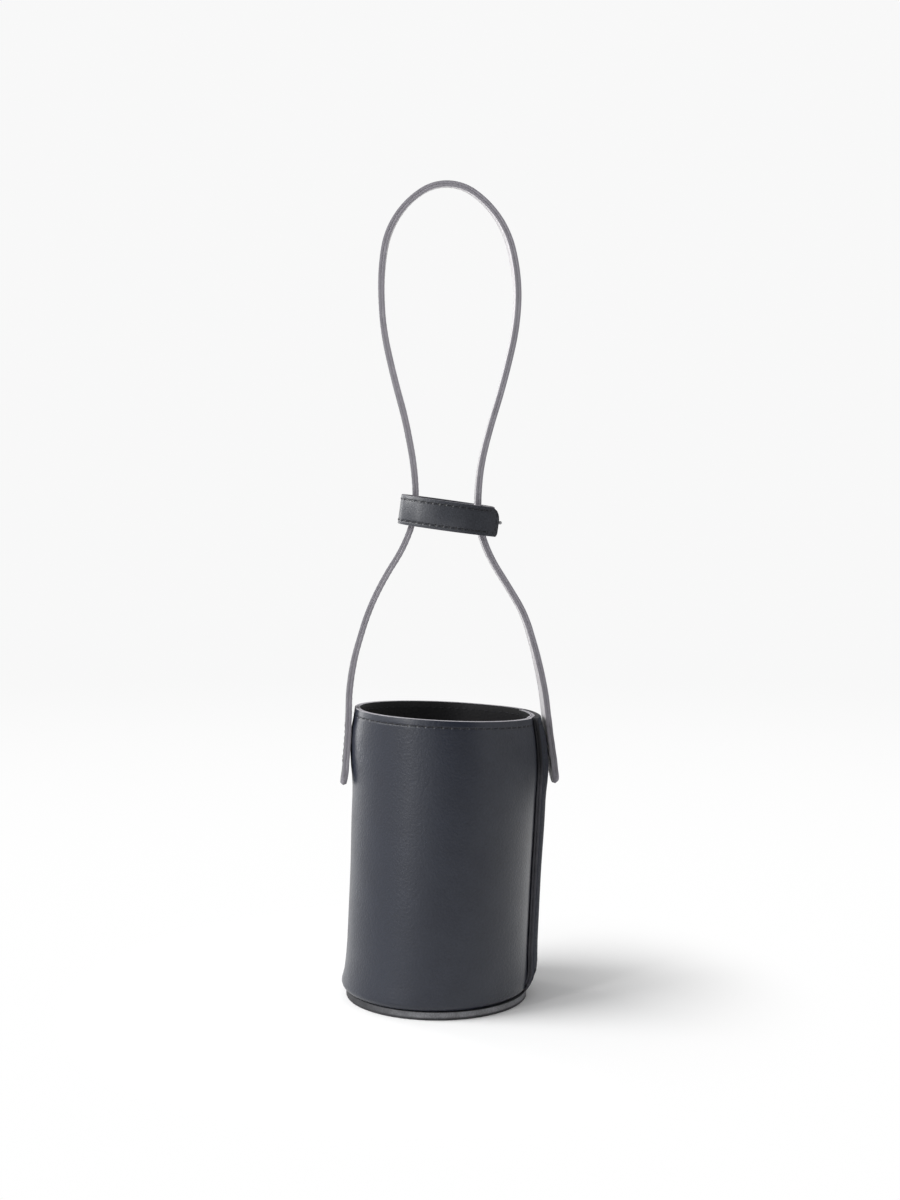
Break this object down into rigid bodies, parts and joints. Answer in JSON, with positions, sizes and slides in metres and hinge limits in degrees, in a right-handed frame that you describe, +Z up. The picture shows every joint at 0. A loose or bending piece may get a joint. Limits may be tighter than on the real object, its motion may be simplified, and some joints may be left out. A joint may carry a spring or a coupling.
{
  "type": "bottle carrier",
  "caption": "Leather carrier for a wine bottle: a lapped round cup on a sewn sole, a long looped strap handle and a sliding collar that closes the strap round the bottle's neck.",
  "frame": {"origin": "on the floor under the middle of the carrier's box, at the underside of the sole", "axes": "+Z up, +X to the right towards the lapped side of the cup, the front of the cup faces -Y; the handle lies in the XZ plane"},
  "size_m": [0.111, 0.0968, 0.4132],
  "materials": {
    "cup_leather": "smooth dyed leather with a soft sheen and a fine grain",
    "lining_leather": "matt dark lining leather",
    "strap_leather": "smooth dyed strap leather with bare grey cut edges",
    "strap_lining": "smooth pale lining leather, sewn with dark thread",
    "sole_leather": "firm sole leather with a rough cut edge",
    "thread": "waxed dark sewing thread"
  },
  "bodies": {
    "carrier": {"cup_wall": "cup_leather", "wall_lining": "lining_leather", "insole": "lining_leather", "sole": "sole_leather", "rim_stitching": "thread", "lap_stitching": "thread", "sole_stitching": "thread", "handle_outer": "strap_leather", "handle_lining": "strap_lining", "left_anchor_stitching": "thread", "right_anchor_stitching": "thread"},
    "collar": {"collar_outer": "strap_leather", "collar_lining": "strap_leather", "collar_seam_stitching": "thread", "collar_knot": "thread"}
  },
  "joints": [
    {"name": "collar_slide", "type": "slide", "parent": "carrier", "child": "collar", "axis": [0, 0, 1], "range_m": [0, 0.025]}
  ]
}
